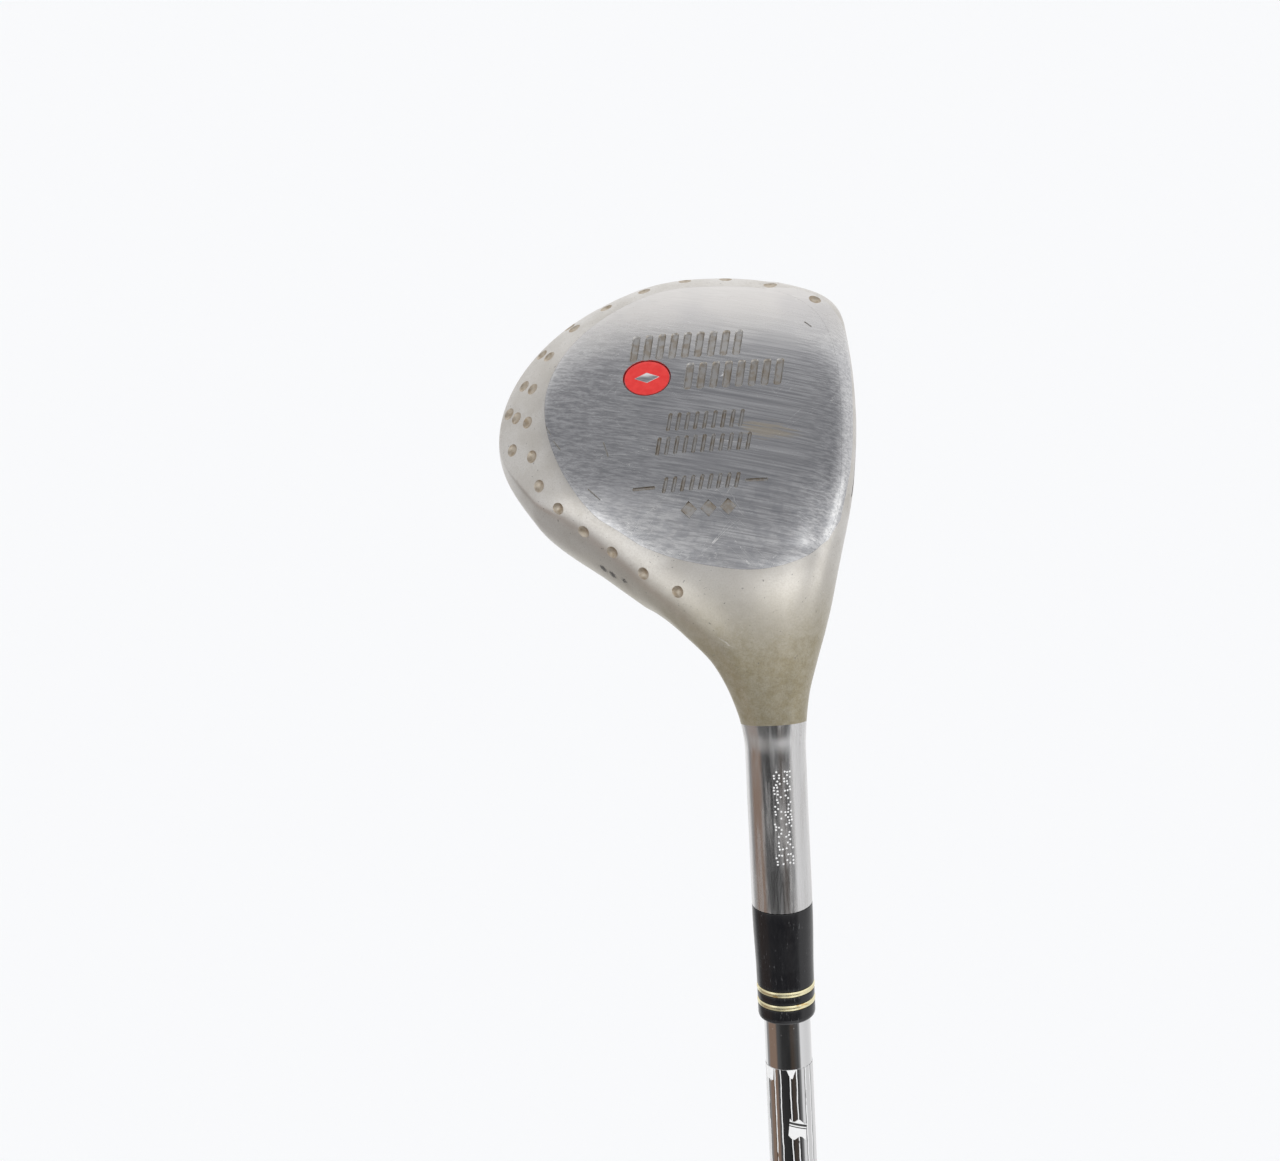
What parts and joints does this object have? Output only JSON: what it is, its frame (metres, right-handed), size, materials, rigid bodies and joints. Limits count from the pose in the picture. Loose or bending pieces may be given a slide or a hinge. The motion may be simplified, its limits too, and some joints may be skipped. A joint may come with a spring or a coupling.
{
  "type": "fairway wood",
  "caption": "Golf fairway wood with a hollow cast steel head, welded sole plate, dimpled skirt, black ferrule with gold rings, stepped steel shaft and rubber grip.",
  "frame": {"origin": "centre of the grip cap's end face, on the shaft axis", "axes": "+Z along the shaft from the butt to the head, +X the way the face looks, +Y on the crown's side, towards the toe"},
  "size_m": [0.0655, 0.0776, 1.1237],
  "materials": {
    "blasted_steel": "bead-blasted stainless casting with tarnish on the neck, polished on the hosel",
    "brushed_steel": "belt-brushed stainless plate, scratched in use",
    "red_enamel": "red enamel fill",
    "foam": "rigid foam",
    "epoxy": "cured epoxy",
    "cork": "cork",
    "lead": "dull lead alloy",
    "black_plastic": "polished black plastic",
    "gold": "gold-coloured trim",
    "chrome": "chromed steel tube",
    "print_film": "clear film with printed pin stripes",
    "tape": "double-sided paper tape",
    "rubber": "moulded rubber",
    "cap_plastic": "moulded plastic"
  },
  "bodies": {
    "root": {"head_body": "blasted_steel", "sole_plate": "brushed_steel", "sole_badge": "red_enamel", "foam_core": "foam", "hosel_adhesive": "epoxy", "tip_plug": "cork", "swing_weight": "lead", "ferrule": "black_plastic", "trim_ring_upper": "gold", "trim_ring_lower": "gold", "shaft": "chrome", "shaft_band": "print_film", "grip_tape": "tape", "grip": "rubber", "grip_cap": "cap_plastic"}
  },
  "joints": []
}
